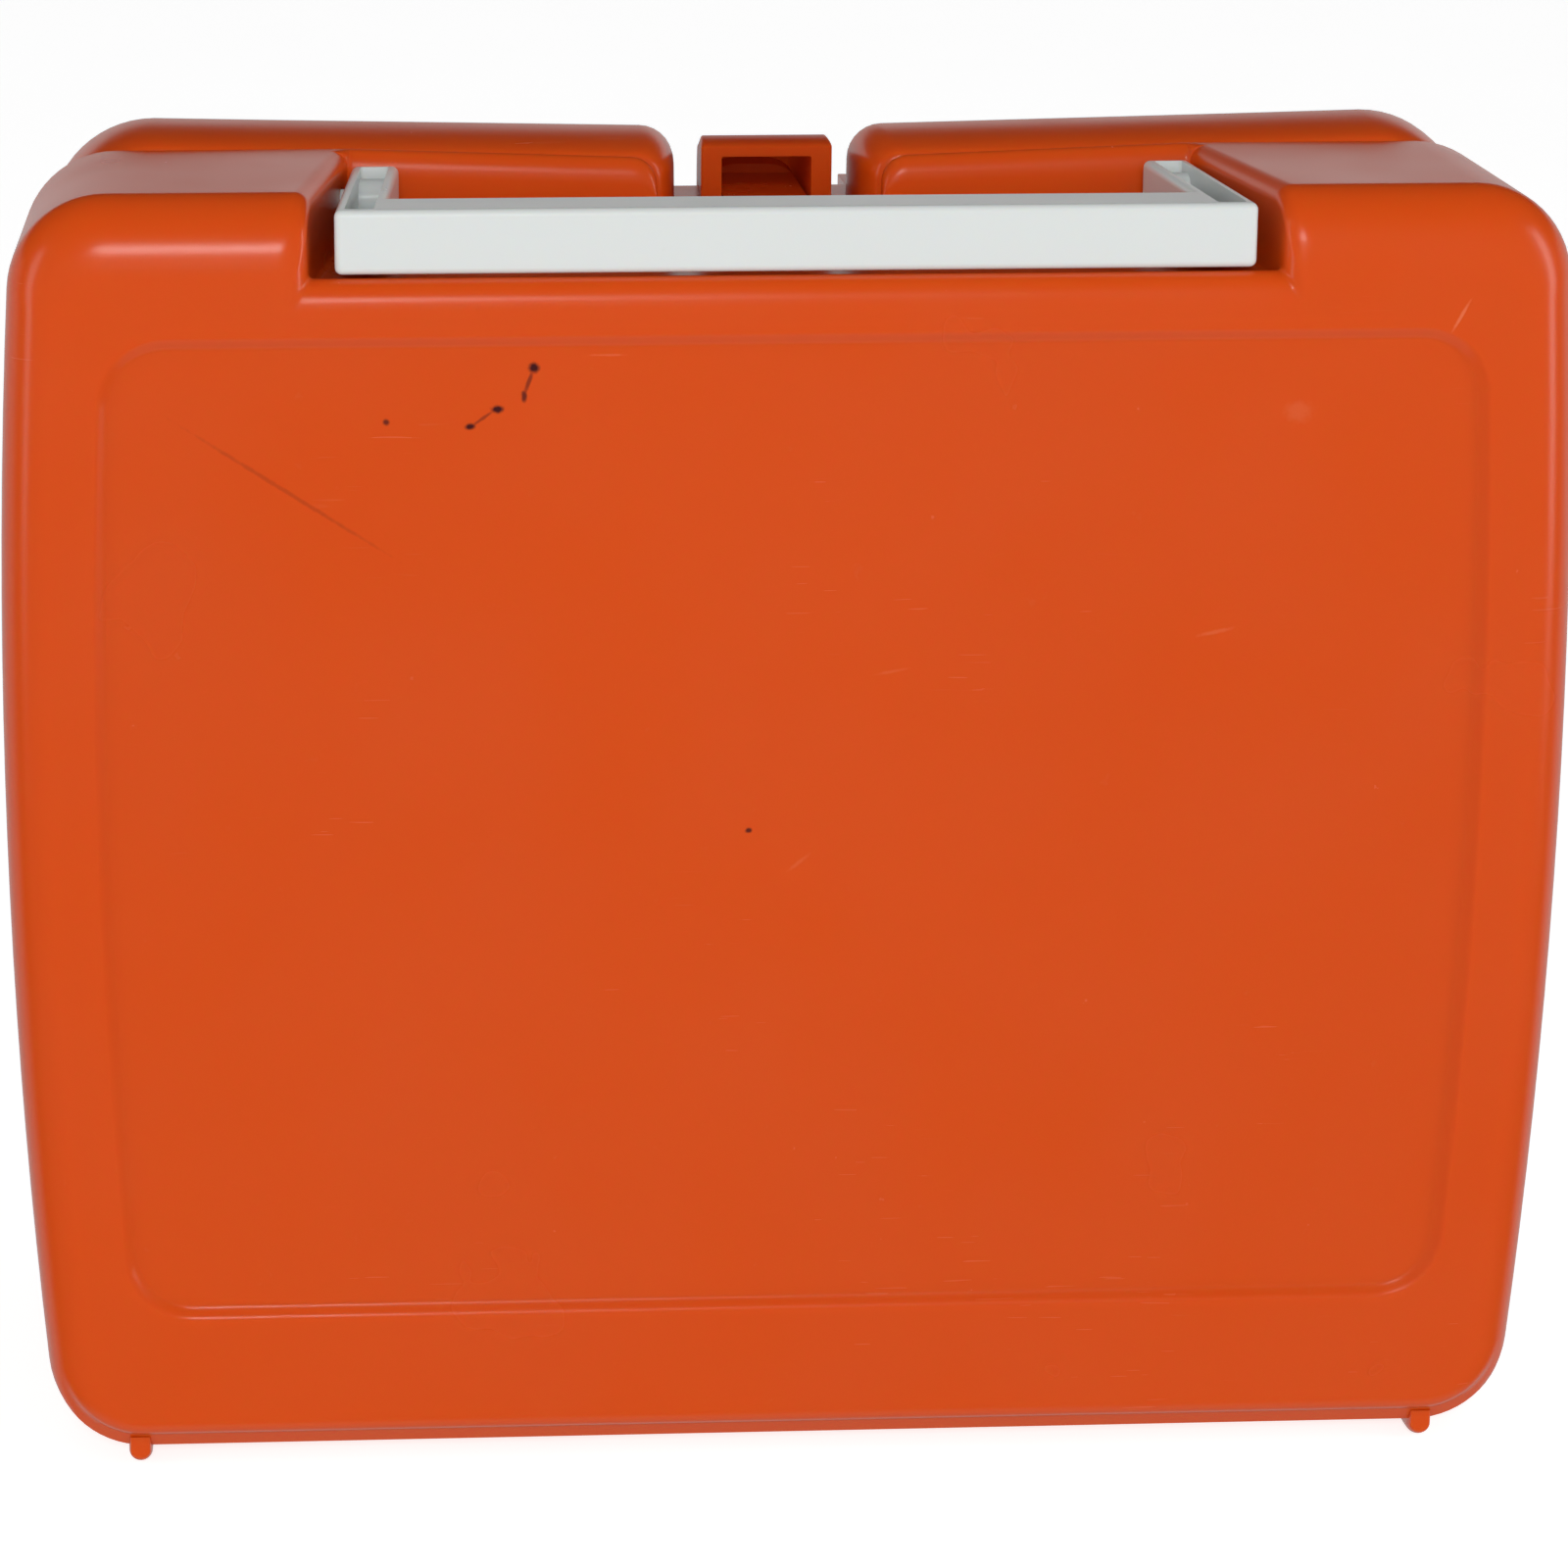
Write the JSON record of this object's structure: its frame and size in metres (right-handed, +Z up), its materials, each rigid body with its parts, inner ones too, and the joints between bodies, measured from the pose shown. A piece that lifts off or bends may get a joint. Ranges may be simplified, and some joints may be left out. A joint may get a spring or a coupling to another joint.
{
  "type": "fleet guessing game case",
  "caption": "Clamshell plastic travel case with folding bail handle, top latch and bottom hinge, holding peg grids, ships and pegs for a fleet guessing game.",
  "frame": {"origin": "middle of the closed case's footprint, level with the lower edges of the skid ribs it stands on", "axes": "+X to the right seen from the handle side, +Y from the rear shell with the handle to the front shell with the latch, +Z up"},
  "size_m": [0.2414, 0.1, 0.205],
  "materials": {
    "case_plastic": "glossy orange moulded plastic, lightly scuffed",
    "latch_plastic": "glossy orange moulded plastic, slightly translucent where thin",
    "handle_plastic": "glossy off-white moulded plastic",
    "pivot_plastic": "off-white moulded plastic",
    "pin_steel": "drawn steel wire",
    "screw_steel": "zinc plated steel",
    "grid_plastic": "satin blue moulded plastic",
    "ship_plastic": "satin grey moulded plastic",
    "white_peg_plastic": "white moulded plastic",
    "red_peg_plastic": "red moulded plastic"
  },
  "bodies": {
    "rear_case": {"rear_shell": "case_plastic", "hinge_pin_left": "pin_steel", "hinge_pin_right": "pin_steel", "handle_pivot_left": "pivot_plastic", "handle_pivot_right": "pivot_plastic", "ocean_grid": "grid_plastic", "ocean_screw_1": "screw_steel", "ocean_screw_2": "screw_steel", "ocean_screw_3": "screw_steel", "ocean_screw_4": "screw_steel", "ship_five_holes": "ship_plastic", "ship_four_holes": "ship_plastic", "ship_three_holes_a": "ship_plastic", "ship_three_holes_b": "ship_plastic", "ship_two_holes": "ship_plastic"},
    "front_case": {"front_shell": "case_plastic", "latch_pin": "pin_steel", "target_grid": "grid_plastic", "target_screw_1": "screw_steel", "target_screw_2": "screw_steel", "target_screw_3": "screw_steel", "target_screw_4": "screw_steel", "white_peg_1": "white_peg_plastic", "white_peg_2": "white_peg_plastic", "white_peg_3": "white_peg_plastic", "white_peg_4": "white_peg_plastic", "white_peg_5": "white_peg_plastic", "white_peg_6": "white_peg_plastic", "white_peg_7": "white_peg_plastic", "white_peg_8": "white_peg_plastic", "red_peg_1": "red_peg_plastic", "red_peg_2": "red_peg_plastic", "red_peg_3": "red_peg_plastic", "red_peg_4": "red_peg_plastic", "red_peg_5": "red_peg_plastic", "red_peg_6": "red_peg_plastic"},
    "handle": {"handle": "handle_plastic"},
    "latch": {"latch_flap": "latch_plastic"}
  },
  "joints": [
    {"name": "case_hinge", "type": "hinge", "parent": "rear_case", "child": "front_case", "pos_m": [0, 0.00185, 0.004], "axis": [-1, 0, 0], "range_deg": [0, 110]},
    {"name": "handle_swing", "type": "hinge", "parent": "rear_case", "child": "handle", "pos_m": [0, -0.0085, 0.1958], "axis": [-1, 0, 0], "range_deg": [0, 90]},
    {"name": "latch_release", "type": "hinge", "parent": "front_case", "child": "latch", "pos_m": [0, 0.044, 0.169], "axis": [-1, 0, 0], "range_deg": [0, 55]}
  ]
}
